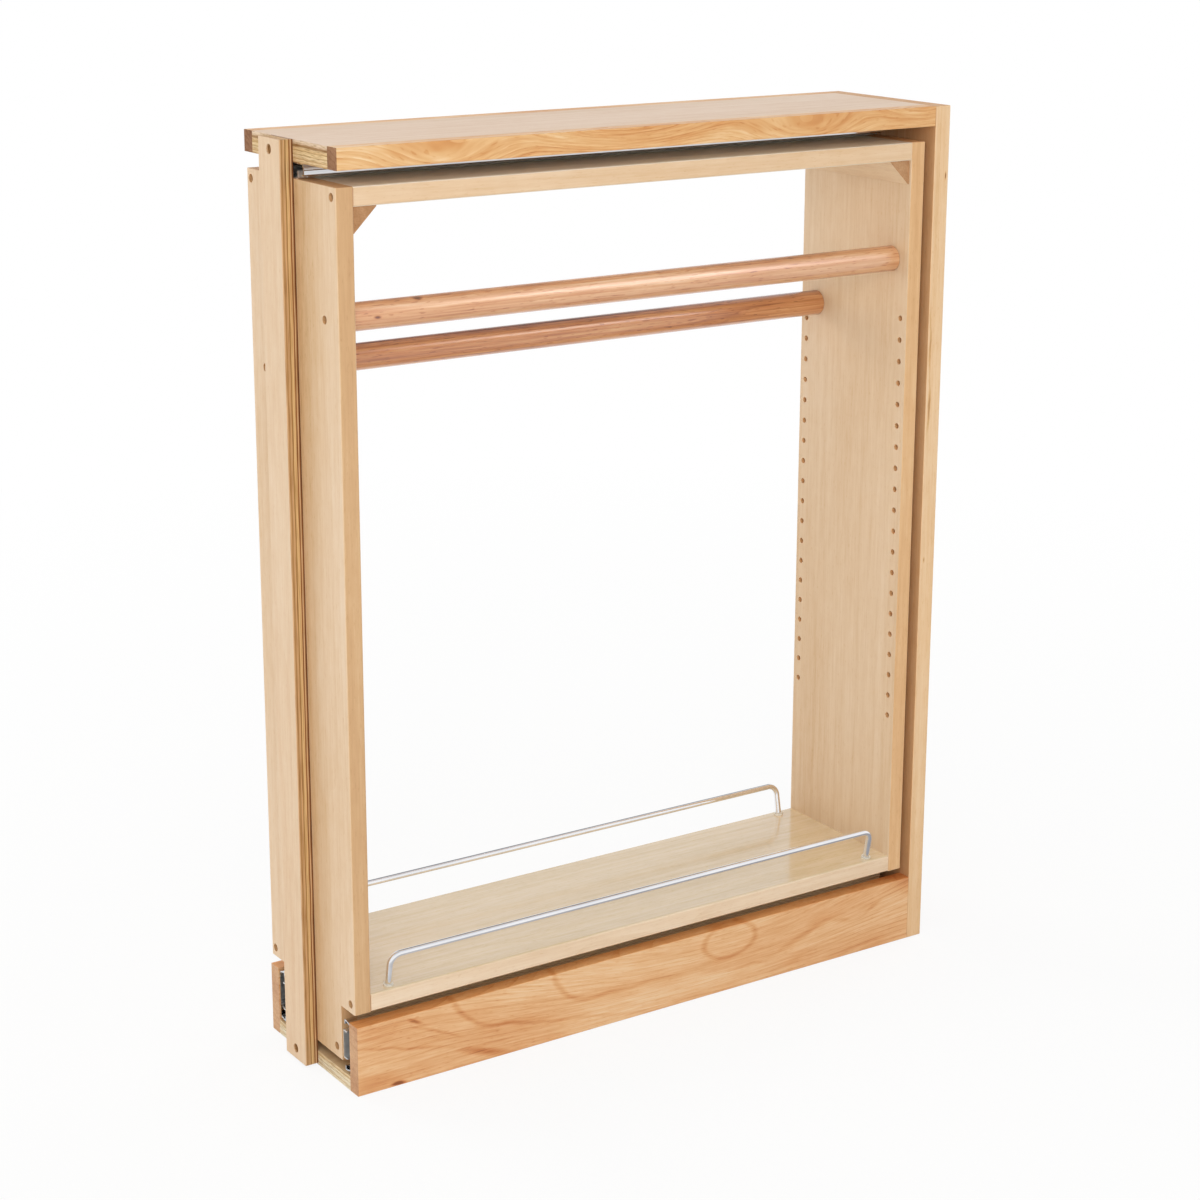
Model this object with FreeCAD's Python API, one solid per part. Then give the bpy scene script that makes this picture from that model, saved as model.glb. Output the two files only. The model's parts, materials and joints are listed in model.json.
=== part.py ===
import FreeCAD, Part
import math
import os

Vector = FreeCAD.Vector

# A narrow pull-out towel rack that fills the gap between two base cabinets.
# The front faces -Y, the upper towel bar hangs on the +X side, and +Z is up.
# All sizes are in millimetres.

# Outer frame
frame_width = 152.4
frame_height = 762.0
frame_depth = 590.0
rear_board_thickness = 16.0
top_thickness = 17.0
top_strip_width = 14.5
base_rail_thickness = 13.5
base_rail_height = 60.0
base_panel_thickness = 12.5
edge_ease = 0.8

# Pull-out frame
side_clearance = 3.0
pullout_rear_gap = 8.0
pullout_bottom = 70.0
board_thickness = 15.0
tongue_bottom = 22.0
runner_thickness = 18.0
runner_rear_inset = 4.0
panel_ease = 1.6

# Front strip, which stands proud of the front panel
strip_width = 34.4
strip_thickness = 11.5
strip_floor_gap = 1.5
strip_near_edge = 69.7
strip_hole_top_inset = 8.4
strip_hole_bottom_inset = 9.3
strip_hole_radius = 2.2
strip_recess_radius = 3.9
strip_recess_depth = 5.0
strip_screw_inset = 130.0

# Towel bars
bar_radius = 11.1
bar_edge_distance = 22.0
upper_bar_drop = 86.3
lower_bar_drop = 139.8

# Gallery rails along the shelf
gallery_rod_radius = 2.75
gallery_foot_inset = 8.0
gallery_end_inset = 20.0
gallery_height = 28.5
gallery_bend_radius = 9.0
gallery_lean = 11.0
gallery_socket_depth = 9.0
gallery_play = 0.1
bush_radius = 4.2
bush_height = 1.8

# Corner blocks under the top rail
corner_block_leg = 20.5
corner_block_tip = 1.0
corner_block_setback = 2.7

# Rows of shelf-pin holes in both end panels
pin_hole_radius = 2.5
pin_hole_depth = 10.0
pin_hole_pitch = 19.05
pin_hole_count = 20
pin_row_bottom = 218.4
pin_row_inset = 8.0

# Ball-bearing slides
slide_thickness = 12.7
slide_height = 45.0
slide_setback = 1.0
slide_rear_gap = 15.0
slide_end_overlap = 8.0
middle_setback = 6.0
base_slide_centre = 37.0
cabinet_sheet = 1.2
inner_sheet = 1.0
race_radius = 5.2
race_wrap = 150.0
outer_ball_radius = 2.0
inner_ball_radius = 1.7
outer_ball_depth = 5.4
inner_ball_depth = 8.0
ball_play = 0.1
ball_pitch = 40.0
balls_per_row = 6
cage_sheet = 0.6
cage_strip = 1.0
cage_clearance = 0.25
cage_side_reach = 2.4
cage_end_margin = 12.0
lip_length = 3.2
drawer_flange_clearance = 0.3
sheet_bend = 1.4
slide_screw_inset = 40.0

# Screws
screw_shank_radius = 1.75
screw_play = 0.05
slide_hole_play = 0.3
panel_screw_length = 25.0
panel_screw_inset = 7.0
panel_head_radius = 3.1
panel_head_height = 2.0
panel_recess_radius = 3.4
panel_recess_depth = 5.0
slide_screw_length = 10.0
slide_head_radius = 3.6
slide_head_height = 1.7
strip_screw_length = 22.0
frame_screw_length = 40.0
frame_screw_inset = 38.0
flat_head_radius = 3.4
flat_head_height = 1.9
recess_arm = 1.9
recess_slot = 0.8
recess_depth = 1.0
screw_point = 3.0

# Places worked out from the sizes above
half_width = frame_width / 2
front_plane = (strip_thickness - frame_depth) / 2
rear_plane = front_plane + frame_depth
rear_board_face = rear_plane - rear_board_thickness
top_underside = frame_height - top_thickness
pullout_half = half_width - side_clearance
pullout_top = top_underside - slide_thickness
pullout_rear = rear_board_face - pullout_rear_gap
front_panel_back = front_plane + board_thickness
rear_panel_face = pullout_rear - board_thickness
shelf_top = pullout_bottom + board_thickness
top_rail_bottom = pullout_top - board_thickness
upper_bar_height = top_rail_bottom - upper_bar_drop
lower_bar_height = top_rail_bottom - lower_bar_drop
rail_inner = half_width - base_rail_thickness
runner_outer = rail_inner - slide_thickness
runner_inner = runner_outer - runner_thickness
strip_near = half_width - strip_near_edge
strip_far = strip_near - strip_width
strip_centre = (strip_near + strip_far) / 2
bar_x = pullout_half - bar_edge_distance
pin_row_x = pullout_half - pin_row_inset
slide_front = front_plane + slide_setback
slide_length = rear_board_face - slide_rear_gap - slide_front
slide_travel = slide_length - slide_end_overlap
strip_screw_heights = (pullout_bottom + strip_screw_inset, pullout_top - strip_screw_inset)

# Slide section: depth runs from the frame to the pull-out, and reach from the middle outwards
slide_half = slide_height / 2
race_centre = slide_half - race_radius
outer_ball_reach = slide_half - cabinet_sheet - ball_play - outer_ball_radius
middle_reach = outer_ball_reach - outer_ball_radius - ball_play
middle_web = cabinet_sheet + slide_head_height + cage_sheet + 2 * cage_clearance + ball_play
inner_ball_reach = middle_reach - inner_sheet - ball_play - inner_ball_radius
drawer_reach = inner_ball_reach - inner_ball_radius - ball_play
inner_cage_web = middle_web + inner_sheet + cage_clearance
drawer_flange_edge = inner_cage_web + cage_sheet + drawer_flange_clearance
lip_top = slide_thickness - inner_sheet - drawer_flange_clearance
outer_cage_web = middle_web - cage_clearance - cage_sheet


# Basic shapes

def block(low, high):
    """A box between two opposite corners."""
    size = high - low
    return Part.makeBox(size.x, size.y, size.z, low)


def eased(shape, radius, chosen):
    """The shape with the chosen edges slightly rounded."""
    edges = [edge for edge in shape.Edges if chosen(edge)]
    return shape.makeFillet(radius, edges)


def placed(shape, point, direction):
    """A shape drawn along +Z from the origin, turned to a direction and moved to a point."""
    turned = shape.copy()
    turn = FreeCAD.Rotation(Vector(0, 0, 1), direction)
    turned.Placement = FreeCAD.Placement(point, turn)
    return turned


def extruded(points, depth_vector):
    """A flat polygon pushed along a vector."""
    outline = Part.makePolygon(points + [points[0]])
    return Part.Face(outline).extrude(depth_vector)


# Screws: each place is the middle of the head's seat and the way the screw goes in

def drive_recess(top):
    """The cross-shaped recess in a screw's head, cut down from its top."""
    low = top
    high = top + recess_depth
    across = block(Vector(-recess_arm, -recess_slot / 2, low), Vector(recess_arm, recess_slot / 2, high))
    along = block(Vector(-recess_slot / 2, -recess_arm, low), Vector(recess_slot / 2, recess_arm, high))
    return across.fuse(along)


def shank(length):
    """A screw's shank with a pointed end."""
    straight = Part.makeCylinder(screw_shank_radius, length - screw_point)
    point = Part.makeCone(screw_shank_radius, 0, screw_point, Vector(0, 0, length - screw_point))
    return straight.fuse(point)


def pan_screw(place, head_radius, head_height, length):
    """A screw with a flat-bottomed round head."""
    point, direction = place
    head = Part.makeCylinder(head_radius, head_height, Vector(0, 0, -head_height))
    solid = head.fuse(shank(length)).cut(drive_recess(-head_height))
    return placed(solid.removeSplitter(), point, direction)


def flat_screw(place, length):
    """A countersunk screw: its seat is the surface that its head lies flush with."""
    point, direction = place
    head = Part.makeCone(flat_head_radius, screw_shank_radius, flat_head_height)
    solid = head.fuse(shank(length)).cut(drive_recess(0))
    return placed(solid.removeSplitter(), point, direction)


def pilot_hole(place, length):
    """The hole that a screw's shank runs in."""
    point, direction = place
    hole = Part.makeCylinder(screw_shank_radius + screw_play, length + screw_play)
    return placed(hole, point, direction)


def recessed_hole(place, length):
    """A pilot hole with a counterbore that hides the head below the surface."""
    point, direction = place
    recess = Part.makeCylinder(panel_recess_radius, panel_recess_depth, Vector(0, 0, -panel_recess_depth))
    return placed(recess, point, direction).fuse(pilot_hole(place, length))


def countersunk_hole(place, length):
    """A pilot hole with a conical seat for a flat head."""
    point, direction = place
    seat = Part.makeCone(flat_head_radius + screw_play, screw_shank_radius + screw_play, flat_head_height)
    return placed(seat, point, direction).fuse(pilot_hole(place, length))


# Where the screws are

def end_panel_spots():
    """Where both end panels are screwed to the top rail, the bars and the shelf."""
    edge_x = pullout_half - panel_screw_inset
    rail_height = pullout_top - board_thickness / 2
    shelf_height = pullout_bottom + board_thickness / 2
    spots = [(edge_x, rail_height), (-edge_x, rail_height)]
    spots += [(bar_x, upper_bar_height), (-bar_x, lower_bar_height)]
    spots += [(edge_x, shelf_height), (-edge_x, shelf_height)]
    return spots


def front_panel_screws():
    """Screws through the front panel, which also hold the runners through its tongue."""
    seat = front_plane + panel_recess_depth
    runner_x = (runner_outer + runner_inner) / 2
    runner_height = tongue_bottom + runner_thickness / 2
    spots = end_panel_spots() + [(runner_x, runner_height), (-runner_x, runner_height)]
    return [(Vector(x, seat, z), Vector(0, 1, 0)) for x, z in spots]


def rear_panel_screws():
    """Screws through the rear panel."""
    seat = pullout_rear - panel_recess_depth
    return [(Vector(x, seat, z), Vector(0, -1, 0)) for x, z in end_panel_spots()]


def strip_screws():
    """Screws from inside the front panel that hold the front strip."""
    return [(Vector(strip_centre, front_panel_back, z), Vector(0, -1, 0)) for z in strip_screw_heights]


def rear_board_screws():
    """Screws through the rear board into the top and the base panel."""
    top_height = frame_height - top_thickness / 2
    base_height = base_panel_thickness / 2
    spread = half_width - frame_screw_inset
    spots = [(side * spread, z) for z in (base_height, top_height) for side in (-1, 1)]
    return [(Vector(x, rear_plane, z), Vector(0, -1, 0)) for x, z in spots]


def slide_screw_rows():
    """How far along a slide its screws stand."""
    return [slide_screw_inset, slide_length / 2, slide_length - slide_screw_inset]


# Slides: drawn with depth along +X, reach along Z and length along +Y, then turned into place

sideways = Vector(1, 0, 0)
downward = Vector(0, 0, -1)
slide_places = {
    "top": (Vector(0, slide_front, top_underside), downward),
    "near": (Vector(rail_inner, slide_front, base_slide_centre), -sideways),
    "far": (Vector(-rail_inner, slide_front, base_slide_centre), sideways),
}


def seated(shape, name):
    """A slide piece turned and moved to its place in the rack."""
    corner, facing = slide_places[name]
    length = Vector(0, 1, 0)
    turn = FreeCAD.Rotation(facing, length, facing.cross(length), "XYZ")
    moved = shape.copy()
    moved.Placement = FreeCAD.Placement(corner, turn).multiply(shape.Placement)
    return moved


def section_point(depth, reach):
    """A point of the slide's section."""
    return Vector(depth, 0, reach)


def race_point(radius, angle, side):
    """A point on the rolled race of the cabinet member, at an angle from its web."""
    turn = math.radians(angle)
    depth = race_radius - radius * math.cos(turn)
    reach = race_centre + radius * math.sin(turn)
    return section_point(depth, side * reach)


def race_arc(radius, start, end, side):
    """An arc of the rolled race between two angles."""
    middle = (start + end) / 2
    points = [race_point(radius, angle, side) for angle in (start, middle, end)]
    return Part.Arc(*points).toShape()


def cabinet_member():
    """The outer channel, fixed to the frame, whose rolled edges hold the outer balls."""
    outside = race_radius
    inside = race_radius - cabinet_sheet
    edges = [Part.makeLine(race_point(outside, 0, -1), race_point(outside, 0, 1))]
    edges.append(race_arc(outside, 0, race_wrap, 1))
    edges.append(Part.makeLine(race_point(outside, race_wrap, 1), race_point(inside, race_wrap, 1)))
    edges.append(race_arc(inside, race_wrap, 0, 1))
    edges.append(Part.makeLine(race_point(inside, 0, 1), race_point(inside, 0, -1)))
    edges.append(race_arc(inside, 0, race_wrap, -1))
    edges.append(Part.makeLine(race_point(inside, race_wrap, -1), race_point(outside, race_wrap, -1)))
    edges.append(race_arc(outside, race_wrap, 0, -1))
    channel = Part.Face(Part.Wire(edges)).extrude(Vector(0, slide_length, 0))
    return channel.cut(web_holes(0))


def rounded_bends(solid, bends):
    """A folded channel with the outside of its bends rounded, at the given depths and reaches."""
    def is_bend(edge):
        middle = edge.CenterOfMass
        return any(
            abs(middle.x - depth) < ball_play and abs(abs(middle.z) - reach) < ball_play
            for depth, reach in bends
        )
    edges = [edge for edge in solid.Edges if is_bend(edge)]
    return solid.makeFillet(sheet_bend, edges)


def middle_member():
    """The channel that runs between the frame's and the pull-out's members."""
    inside = middle_reach - inner_sheet
    lip_edge = middle_reach - lip_length
    lip_bottom = lip_top - inner_sheet
    half = [(middle_web, middle_reach), (lip_top, middle_reach), (lip_top, lip_edge)]
    half += [(lip_bottom, lip_edge), (lip_bottom, inside), (middle_web + inner_sheet, inside)]
    points = [section_point(depth, reach) for depth, reach in half]
    points += [section_point(depth, -reach) for depth, reach in reversed(half)]
    channel = extruded(points, Vector(0, slide_length - middle_setback, 0))
    channel.translate(Vector(0, middle_setback, 0))
    return rounded_bends(channel, [(middle_web, middle_reach), (lip_top, middle_reach)])


def drawer_member():
    """The inner channel, fixed to the pull-out."""
    inside = drawer_reach - inner_sheet
    web = slide_thickness - inner_sheet
    half = [(slide_thickness, drawer_reach), (drawer_flange_edge, drawer_reach)]
    half += [(drawer_flange_edge, inside), (web, inside)]
    points = [section_point(depth, reach) for depth, reach in half]
    points += [section_point(depth, -reach) for depth, reach in reversed(half)]
    channel = extruded(points, Vector(0, slide_length, 0))
    return rounded_bends(channel, [(slide_thickness, drawer_reach)]).cut(web_holes(web))


def web_holes(depth):
    """The screw holes through a member's web, which starts at the given depth."""
    holes = []
    for run in slide_screw_rows():
        start = Vector(depth - slide_hole_play, run, 0)
        radius = screw_shank_radius + slide_hole_play
        length = cabinet_sheet + 2 * slide_hole_play
        holes.append(Part.makeCylinder(radius, length, start, Vector(1, 0, 0)))
    return Part.makeCompound(holes)


def ball_spots(depth, reach, first):
    """The middles of the balls in both rows of a stage."""
    runs = [first + index * ball_pitch for index in range(balls_per_row)]
    return [Vector(depth, run, side * reach) for side in (-1, 1) for run in runs]


def ball_row_start():
    """Where a stage's first ball stands at rest, so that its cage stays between its two members.

    Each stage opens half the travel, and its cage moves half as far as the stage opens."""
    row = (balls_per_row - 1) * ball_pitch
    stage_travel = slide_travel / 2
    room = slide_length - stage_travel
    return stage_travel / 2 + (room - row) / 2


def balls(depth, reach, radius, first):
    """The balls of a stage, one solid each."""
    return [Part.makeSphere(radius, spot) for spot in ball_spots(depth, reach, first)]


def cage(web, depth, reach, radius, first):
    """The U-shaped ball cage of a stage, with a pocket round each ball."""
    length = (balls_per_row - 1) * ball_pitch + 2 * cage_end_margin
    start = first - cage_end_margin
    edge = reach + cage_strip / 2
    solid = block(Vector(web, start, -edge), Vector(web + cage_sheet, start + length, edge))
    for side in (-1, 1):
        low = side * reach - cage_strip / 2
        strip_end = depth + cage_side_reach
        strip = block(Vector(web, start, low), Vector(strip_end, start + length, low + cage_strip))
        solid = solid.fuse(strip)
    pockets = balls(depth, reach, radius + ball_play, first)
    return solid.removeSplitter().cut(Part.makeCompound(pockets))


def frame_slide_screws():
    """Where the cabinet members' screws go into the frame, in a slide's own directions."""
    return [(Vector(cabinet_sheet, run, 0), Vector(-1, 0, 0)) for run in slide_screw_rows()]


def pullout_slide_screws():
    """Where the drawer members' screws go into the pull-out, in a slide's own directions."""
    web = slide_thickness - inner_sheet
    return [(Vector(web, run, 0), Vector(1, 0, 0)) for run in slide_screw_rows()]


def slide_screw_set(places, name):
    """The screws of one slide member, in place."""
    size = (slide_head_radius, slide_head_height, slide_screw_length)
    return [seated(pan_screw(spot, *size), name) for spot in places]


def slide_pilot_set(places, name):
    """The holes that the screws of one slide member need, in place."""
    return [seated(pilot_hole(spot, slide_screw_length), name) for spot in places]


# Wooden pieces of the outer frame

def drilled(solid, holes):
    """A piece with holes cut in it."""
    return solid.cut(Part.makeCompound(holes))


def outer_face_edge(side):
    """Picks the edges round a board's outer face, on one side of the frame."""
    def chosen(edge):
        middle = edge.CenterOfMass
        return abs(middle.x - side * half_width) < edge_ease
    return chosen


def top_core():
    """The plywood top, between its two edge strips."""
    half = half_width - top_strip_width
    low = Vector(-half, front_plane, top_underside)
    high = Vector(half, rear_board_face, frame_height)
    holes = slide_pilot_set(frame_slide_screws(), "top")
    holes += [countersunk_hole(place, frame_screw_length) for place in rear_board_screws()]
    return drilled(block(low, high), holes)


def top_strip(side):
    """The solid strip glued along one edge of the top."""
    inner = side * (half_width - top_strip_width)
    outer = side * half_width
    low = Vector(min(inner, outer), front_plane, top_underside)
    high = Vector(max(inner, outer), rear_board_face, frame_height)
    return eased(block(low, high), edge_ease, outer_face_edge(side))


def rear_board():
    """The full-height board at the back of the frame."""
    low = Vector(-half_width, rear_board_face, 0)
    high = Vector(half_width, rear_plane, frame_height)
    holes = [countersunk_hole(place, frame_screw_length) for place in rear_board_screws()]
    board = block(low, high)
    return drilled(board.makeFillet(edge_ease, board.Edges), holes)


def base_panel():
    """The plywood floor of the frame, between the base rails."""
    low = Vector(-rail_inner, front_plane, 0)
    high = Vector(rail_inner, rear_board_face, base_panel_thickness)
    holes = [countersunk_hole(place, frame_screw_length) for place in rear_board_screws()]
    return drilled(block(low, high), holes)


def base_rail(side, slide):
    """The solid rail along one side of the base, which carries a slide."""
    inner = side * rail_inner
    outer = side * half_width
    low = Vector(min(inner, outer), front_plane, 0)
    high = Vector(max(inner, outer), rear_board_face, base_rail_height)
    rail = eased(block(low, high), edge_ease, outer_face_edge(side))
    return drilled(rail, slide_pilot_set(frame_slide_screws(), slide))


# Wooden pieces of the pull-out

def pin_holes(face, direction):
    """Two rows of blind shelf-pin holes in an end panel's inner face."""
    holes = []
    for side in (-1, 1):
        for index in range(pin_hole_count):
            mouth = Vector(side * pin_row_x, face, pin_row_bottom + index * pin_hole_pitch)
            holes.append(Part.makeCylinder(pin_hole_radius, pin_hole_depth, mouth, direction))
    return holes


def front_panel():
    """The pull-out's front end, with a tongue that reaches down between the base slides."""
    outline = [(-pullout_half, pullout_top), (pullout_half, pullout_top), (pullout_half, pullout_bottom)]
    outline += [(runner_outer, pullout_bottom), (runner_outer, tongue_bottom)]
    outline += [(-runner_outer, tongue_bottom), (-runner_outer, pullout_bottom)]
    outline += [(-pullout_half, pullout_bottom)]
    points = [Vector(x, front_plane, z) for x, z in outline]
    panel = eased(extruded(points, Vector(0, board_thickness, 0)), panel_ease, panel_edge)
    holes = [recessed_hole(place, panel_screw_length) for place in front_panel_screws()]
    holes += [countersunk_hole(place, strip_screw_length) for place in strip_screws()]
    holes += pin_holes(front_panel_back, Vector(0, -1, 0))
    return drilled(panel, holes)


def panel_edge(edge):
    """Picks the upright outer edges of an end panel."""
    middle = edge.CenterOfMass
    upright = edge.BoundBox.ZLength > board_thickness
    return upright and abs(abs(middle.x) - pullout_half) < panel_ease


def rear_panel():
    """The pull-out's rear end."""
    low = Vector(-pullout_half, rear_panel_face, pullout_bottom)
    high = Vector(pullout_half, pullout_rear, pullout_top)
    panel = eased(block(low, high), panel_ease, panel_edge)
    holes = [recessed_hole(place, panel_screw_length) for place in rear_panel_screws()]
    holes += pin_holes(rear_panel_face, Vector(0, 1, 0))
    return drilled(panel, holes)


def end_screw_holes():
    """The pilot holes that the end panels' screws need in what they hold."""
    return [pilot_hole(place, panel_screw_length) for place in front_panel_screws() + rear_panel_screws()]


def cross_edge(edge):
    """Picks the long outer edges of a board that lies between the end panels."""
    middle = edge.CenterOfMass
    lengthwise = edge.BoundBox.YLength > board_thickness
    return lengthwise and abs(abs(middle.x) - pullout_half) < panel_ease


def top_rail():
    """The board across the top of the pull-out, under the top slide."""
    low = Vector(-pullout_half, front_panel_back, top_rail_bottom)
    high = Vector(pullout_half, rear_panel_face, pullout_top)
    holes = end_screw_holes() + slide_pilot_set(pullout_slide_screws(), "top")
    return drilled(eased(block(low, high), panel_ease, cross_edge), holes)


def bottom_shelf():
    """The fixed shelf at the bottom of the pull-out, with sockets for the gallery rails."""
    low = Vector(-pullout_half, front_panel_back, pullout_bottom)
    high = Vector(pullout_half, rear_panel_face, shelf_top)
    holes = end_screw_holes()
    for side in (-1, 1):
        for run in gallery_runs():
            foot, upward = gallery_leg(side, run)
            radius = gallery_rod_radius + gallery_play
            depth = gallery_socket_depth + gallery_play
            start = foot - upward * depth
            holes.append(Part.makeCylinder(radius, 2 * depth, start, upward))
    return drilled(eased(block(low, high), panel_ease, cross_edge), holes)


def runner(side, slide):
    """The board under the shelf that one base slide carries."""
    inner = side * runner_inner
    outer = side * runner_outer
    low = Vector(min(inner, outer), front_panel_back, tongue_bottom)
    high = Vector(max(inner, outer), pullout_rear - runner_rear_inset, pullout_bottom)
    return drilled(block(low, high), end_screw_holes() + slide_pilot_set(pullout_slide_screws(), slide))


def towel_bar(side, height):
    """A round bar between the end panels, screwed at both ends."""
    length = rear_panel_face - front_panel_back
    start = Vector(side * bar_x, front_panel_back, height)
    bar = Part.makeCylinder(bar_radius, length, start, Vector(0, 1, 0))
    return drilled(bar, end_screw_holes())


def corner_block(face, direction):
    """A three-cornered block with blunt tips, glued under the top rail against an end panel."""
    half = pullout_half - corner_block_setback
    leg = corner_block_leg
    tip = corner_block_tip
    outline = [(0, 0), (leg, 0), (leg, tip), (tip, leg), (0, leg)]
    points = [Vector(-half, face + direction * run, top_rail_bottom - drop) for run, drop in outline]
    return extruded(points, Vector(2 * half, 0, 0))


def front_strip():
    """The plywood strip on the pull-out's front, with a recessed fixing hole near each end."""
    low = Vector(strip_far, front_plane - strip_thickness, strip_floor_gap)
    high = Vector(strip_near, front_plane, frame_height)
    holes = [countersunk_hole(place, strip_screw_length) for place in strip_screws()]
    for height in strip_hole_heights():
        mouth = Vector(strip_centre, low.y, height)
        inward = Vector(0, 1, 0)
        holes.append(Part.makeCylinder(strip_hole_radius, strip_thickness, mouth, inward))
        holes.append(Part.makeCylinder(strip_recess_radius, strip_recess_depth, mouth, inward))
    solid = block(low, high)
    for hole in holes:
        solid = solid.cut(hole)
    return solid


def strip_hole_heights():
    """The heights of the front strip's two fixing holes."""
    return [strip_floor_gap + strip_hole_bottom_inset, frame_height - strip_hole_top_inset]


# Gallery rails

def gallery_runs():
    """Where a gallery rail's two legs stand along the shelf."""
    return [front_panel_back + gallery_end_inset, rear_panel_face - gallery_end_inset]


def gallery_leg(side, run):
    """A leg's foot on the shelf and the way it leans, outwards."""
    foot = Vector(side * (pullout_half - gallery_foot_inset), run, shelf_top)
    lean = math.radians(gallery_lean)
    return foot, Vector(side * math.sin(lean), 0, math.cos(lean))


def gallery_rail(side):
    """A bent chrome rod with both legs set into the shelf."""
    front, rear = gallery_runs()
    front_foot, upward = gallery_leg(side, front)
    rear_foot, upward = gallery_leg(side, rear)
    along = Vector(0, 1, 0)
    bend = gallery_bend_radius
    diagonal = math.sqrt(0.5) * bend
    front_end = front_foot - upward * gallery_socket_depth
    rear_end = rear_foot - upward * gallery_socket_depth
    front_top = front_foot + upward * gallery_height
    rear_top = rear_foot + upward * gallery_height
    front_low = front_top - upward * bend
    rear_low = rear_top - upward * bend
    front_high = front_top + along * bend
    rear_high = rear_top - along * bend
    front_middle = front_low + along * (bend - diagonal) + upward * diagonal
    rear_middle = rear_low - along * (bend - diagonal) + upward * diagonal
    path = Part.Wire([
        Part.makeLine(front_end, front_low),
        Part.Arc(front_low, front_middle, front_high).toShape(),
        Part.makeLine(front_high, rear_high),
        Part.Arc(rear_high, rear_middle, rear_low).toShape(),
        Part.makeLine(rear_low, rear_end),
    ])
    circle = Part.Wire(Part.makeCircle(gallery_rod_radius, front_end, upward))
    return path.makePipeShell([circle], True, True)


def gallery_bushes():
    """The small collars round the gallery legs where they enter the shelf."""
    bushes = []
    for side in (-1, 1):
        for run in gallery_runs():
            foot, upward = gallery_leg(side, run)
            start = foot - upward * bush_height
            outside = Part.makeCylinder(bush_radius, 2 * bush_height, start, upward)
            inside = Part.makeCylinder(gallery_rod_radius + gallery_play, 2 * bush_height, start, upward)
            wide = 2 * bush_radius
            room = block(foot - Vector(wide, wide, 0), foot + Vector(wide, wide, 2 * bush_height))
            bushes.append(outside.cut(inside).common(room))
    return bushes


# Writing the pieces

def write(name, solids):
    """Writes one piece, or a group of like pieces, to its own file."""
    shape = solids[0] if len(solids) == 1 else Part.makeCompound(solids)
    shape.exportStep(os.path.join("parts", name + ".step"))


def write_frame():
    """The pieces that stay still."""
    write("top_core", [top_core()])
    write("top_strip_near", [top_strip(1)])
    write("top_strip_far", [top_strip(-1)])
    write("rear_board", [rear_board()])
    write("base_panel", [base_panel()])
    write("base_rail_near", [base_rail(1, "near")])
    write("base_rail_far", [base_rail(-1, "far")])
    write("rear_board_screws", [flat_screw(place, frame_screw_length) for place in rear_board_screws()])


def write_pullout():
    """The pieces that slide out together."""
    write("front_panel", [front_panel()])
    write("rear_panel", [rear_panel()])
    write("top_rail", [top_rail()])
    write("bottom_shelf", [bottom_shelf()])
    write("runner_near", [runner(1, "near")])
    write("runner_far", [runner(-1, "far")])
    write("upper_towel_bar", [towel_bar(1, upper_bar_height)])
    write("lower_towel_bar", [towel_bar(-1, lower_bar_height)])
    write("corner_block_front", [corner_block(front_panel_back, 1)])
    write("corner_block_rear", [corner_block(rear_panel_face, -1)])
    write("gallery_rail_near", [gallery_rail(1)])
    write("gallery_rail_far", [gallery_rail(-1)])
    write("gallery_bushes", gallery_bushes())
    write("front_strip", [front_strip()])
    write("strip_screws", [flat_screw(place, strip_screw_length) for place in strip_screws()])
    size = (panel_head_radius, panel_head_height, panel_screw_length)
    write("front_panel_screws", [pan_screw(place, *size) for place in front_panel_screws()])
    write("rear_panel_screws", [pan_screw(place, *size) for place in rear_panel_screws()])


def write_slide(name):
    """The members, cages, balls and screws of one slide."""
    first = ball_row_start()
    outer = (outer_ball_depth, outer_ball_reach, outer_ball_radius, first)
    inner = (inner_ball_depth, inner_ball_reach, inner_ball_radius, first)
    pieces = {
        "cabinet_member": [cabinet_member()],
        "middle_member": [middle_member()],
        "drawer_member": [drawer_member()],
        "outer_cage": [cage(outer_cage_web, *outer)],
        "inner_cage": [cage(inner_cage_web, *inner)],
        "outer_balls": balls(*outer),
        "inner_balls": balls(*inner),
    }
    for piece, solids in pieces.items():
        write(name + "_slide_" + piece, [seated(solid, name) for solid in solids])
    write(name + "_slide_frame_screws", slide_screw_set(frame_slide_screws(), name))
    write(name + "_slide_pullout_screws", slide_screw_set(pullout_slide_screws(), name))


os.makedirs("parts", exist_ok=True)
write_frame()
write_pullout()
for slide_name in slide_places:
    write_slide(slide_name)
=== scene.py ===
import json
import math
import bpy
import bmesh
from mathutils import Matrix, Vector

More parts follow.
